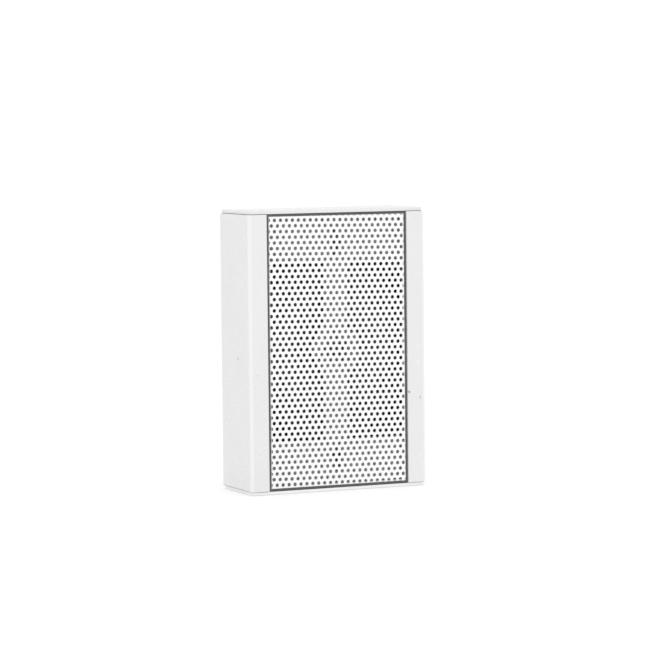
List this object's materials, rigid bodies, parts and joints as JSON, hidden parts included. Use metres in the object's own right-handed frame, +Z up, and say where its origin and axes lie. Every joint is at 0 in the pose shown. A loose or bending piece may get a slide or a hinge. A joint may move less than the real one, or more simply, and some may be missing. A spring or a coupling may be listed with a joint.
{
  "type": "column speaker",
  "caption": "Shallow upright column loudspeaker: extruded metal cabinet, flat end plates and a perforated grille over a woofer with a tweeter on a bar; keyholes and cable entry at the back.",
  "frame": {"origin": "middle of the bottom plate's underside, at the centre of the whole box", "axes": "+X to the right seen from the front, +Y from the grille to the back, +Z up"},
  "size_m": [0.179, 0.07, 0.262],
  "materials": {
    "cabinet_white": "fine matt powder coat",
    "grille_white": "smooth satin powder coat",
    "bridge_grey": "satin paint",
    "board_black": "black stained fibreboard",
    "chassis_black": "satin black paint",
    "foam_black": "matt foam",
    "rubber_black": "satin rubber",
    "cone_black": "pressed paper pulp",
    "screw_bright": "bright zinc",
    "screw_black": "black zinc",
    "plate_zinc": "zinc plated steel",
    "ferrite": "sintered ferrite",
    "spider_cloth": "resin-treated cloth",
    "copper": "enamelled copper",
    "phenolic": "phenolic board",
    "brass": "bright brass",
    "plastic_black": "fine texture",
    "dome_silk": "coated silk",
    "capacitor_sleeve": "shrink sleeve",
    "clip_nylon": "natural nylon",
    "lamination": "varnished laminations",
    "winding_tape": "polyester tape",
    "wire_red": "soft wire insulation",
    "wire_black": "soft wire insulation"
  },
  "bodies": {
    "root": {"cabinet_profile": "cabinet_white", "top_plate": "cabinet_white", "bottom_plate": "cabinet_white", "top_gasket": "rubber_black", "bottom_gasket": "rubber_black", "top_plate_screws": "screw_bright", "bottom_plate_screws": "screw_bright", "grille": "grille_white", "grille_foam_strip": "foam_black", "tweeter_bridge": "bridge_grey", "bridge_screws": "screw_black", "baffle_board": "board_black", "woofer_chassis": "chassis_black", "woofer_gasket": "foam_black", "woofer_screws": "screw_black", "woofer_nuts": "screw_bright", "woofer_surround": "rubber_black", "woofer_cone": "cone_black", "woofer_dust_cap": "cone_black", "woofer_spider": "spider_cloth", "woofer_voice_coil": "copper", "woofer_top_plate": "plate_zinc", "woofer_magnet": "ferrite", "woofer_yoke": "plate_zinc", "woofer_tag_board": "phenolic", "woofer_tags": "brass", "tweeter_housing": "plastic_black", "tweeter_dome": "dome_silk", "tweeter_magnet": "plate_zinc", "tweeter_screws": "screw_black", "tweeter_capacitor": "capacitor_sleeve", "capacitor_clip": "clip_nylon", "clip_screws": "screw_bright", "transformer_core": "lamination", "transformer_winding": "winding_tape", "transformer_frame": "plate_zinc", "transformer_screws": "screw_bright", "terminal_block": "plastic_black", "terminal_screws": "plate_zinc", "terminal_fixing_screw": "screw_bright", "cable_grommet": "rubber_black", "input_lead_red": "wire_red", "input_lead_black": "wire_black", "woofer_lead_red": "wire_red", "woofer_lead_black": "wire_black", "capacitor_lead_red": "wire_red", "tweeter_lead_red": "wire_red", "tweeter_lead_black": "wire_black"}
  },
  "joints": []
}
